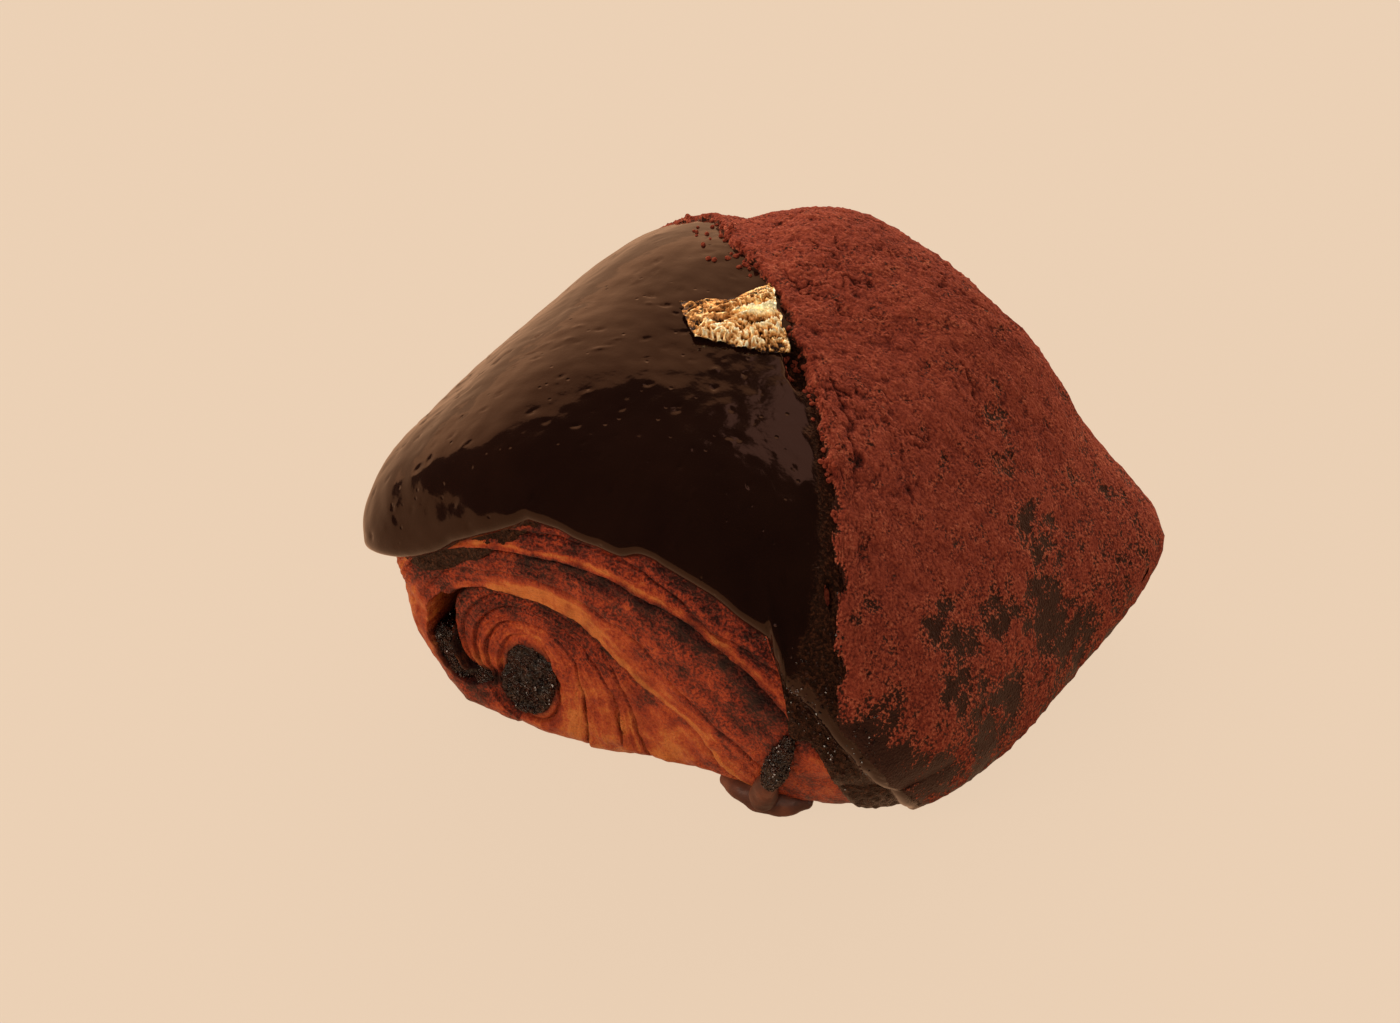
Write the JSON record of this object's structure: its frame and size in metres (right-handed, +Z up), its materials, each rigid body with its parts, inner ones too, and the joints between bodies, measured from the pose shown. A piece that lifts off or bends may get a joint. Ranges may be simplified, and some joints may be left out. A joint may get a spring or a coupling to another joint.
{
  "type": "pain au chocolat",
  "caption": "Rolled laminated pastry with chocolate sticks inside, a poured chocolate coat dusted with cocoa on one side, and a flake of gold leaf.",
  "frame": {"origin": "middle of the bounding box, on the flat base", "axes": "+Z up; Y along the roll, with the cut end that shows the sticks at -Y; X across the roll, towards the low foot at +X"},
  "size_m": [0.1018, 0.0858, 0.0558],
  "materials": {
    "baked_dough": "browned flaky crust",
    "baked_chocolate": "baked, crumbly chocolate",
    "chocolate_glaze": "glossy set chocolate, part dusted with matt cocoa",
    "gold_leaf": "crumpled gold leaf"
  },
  "bodies": {
    "root": {"dough_roll": "baked_dough", "stick_core": "baked_chocolate", "stick_side": "baked_chocolate", "chocolate_coat": "chocolate_glaze", "chocolate_seep": "baked_chocolate", "gold_leaf": "gold_leaf"}
  },
  "joints": []
}
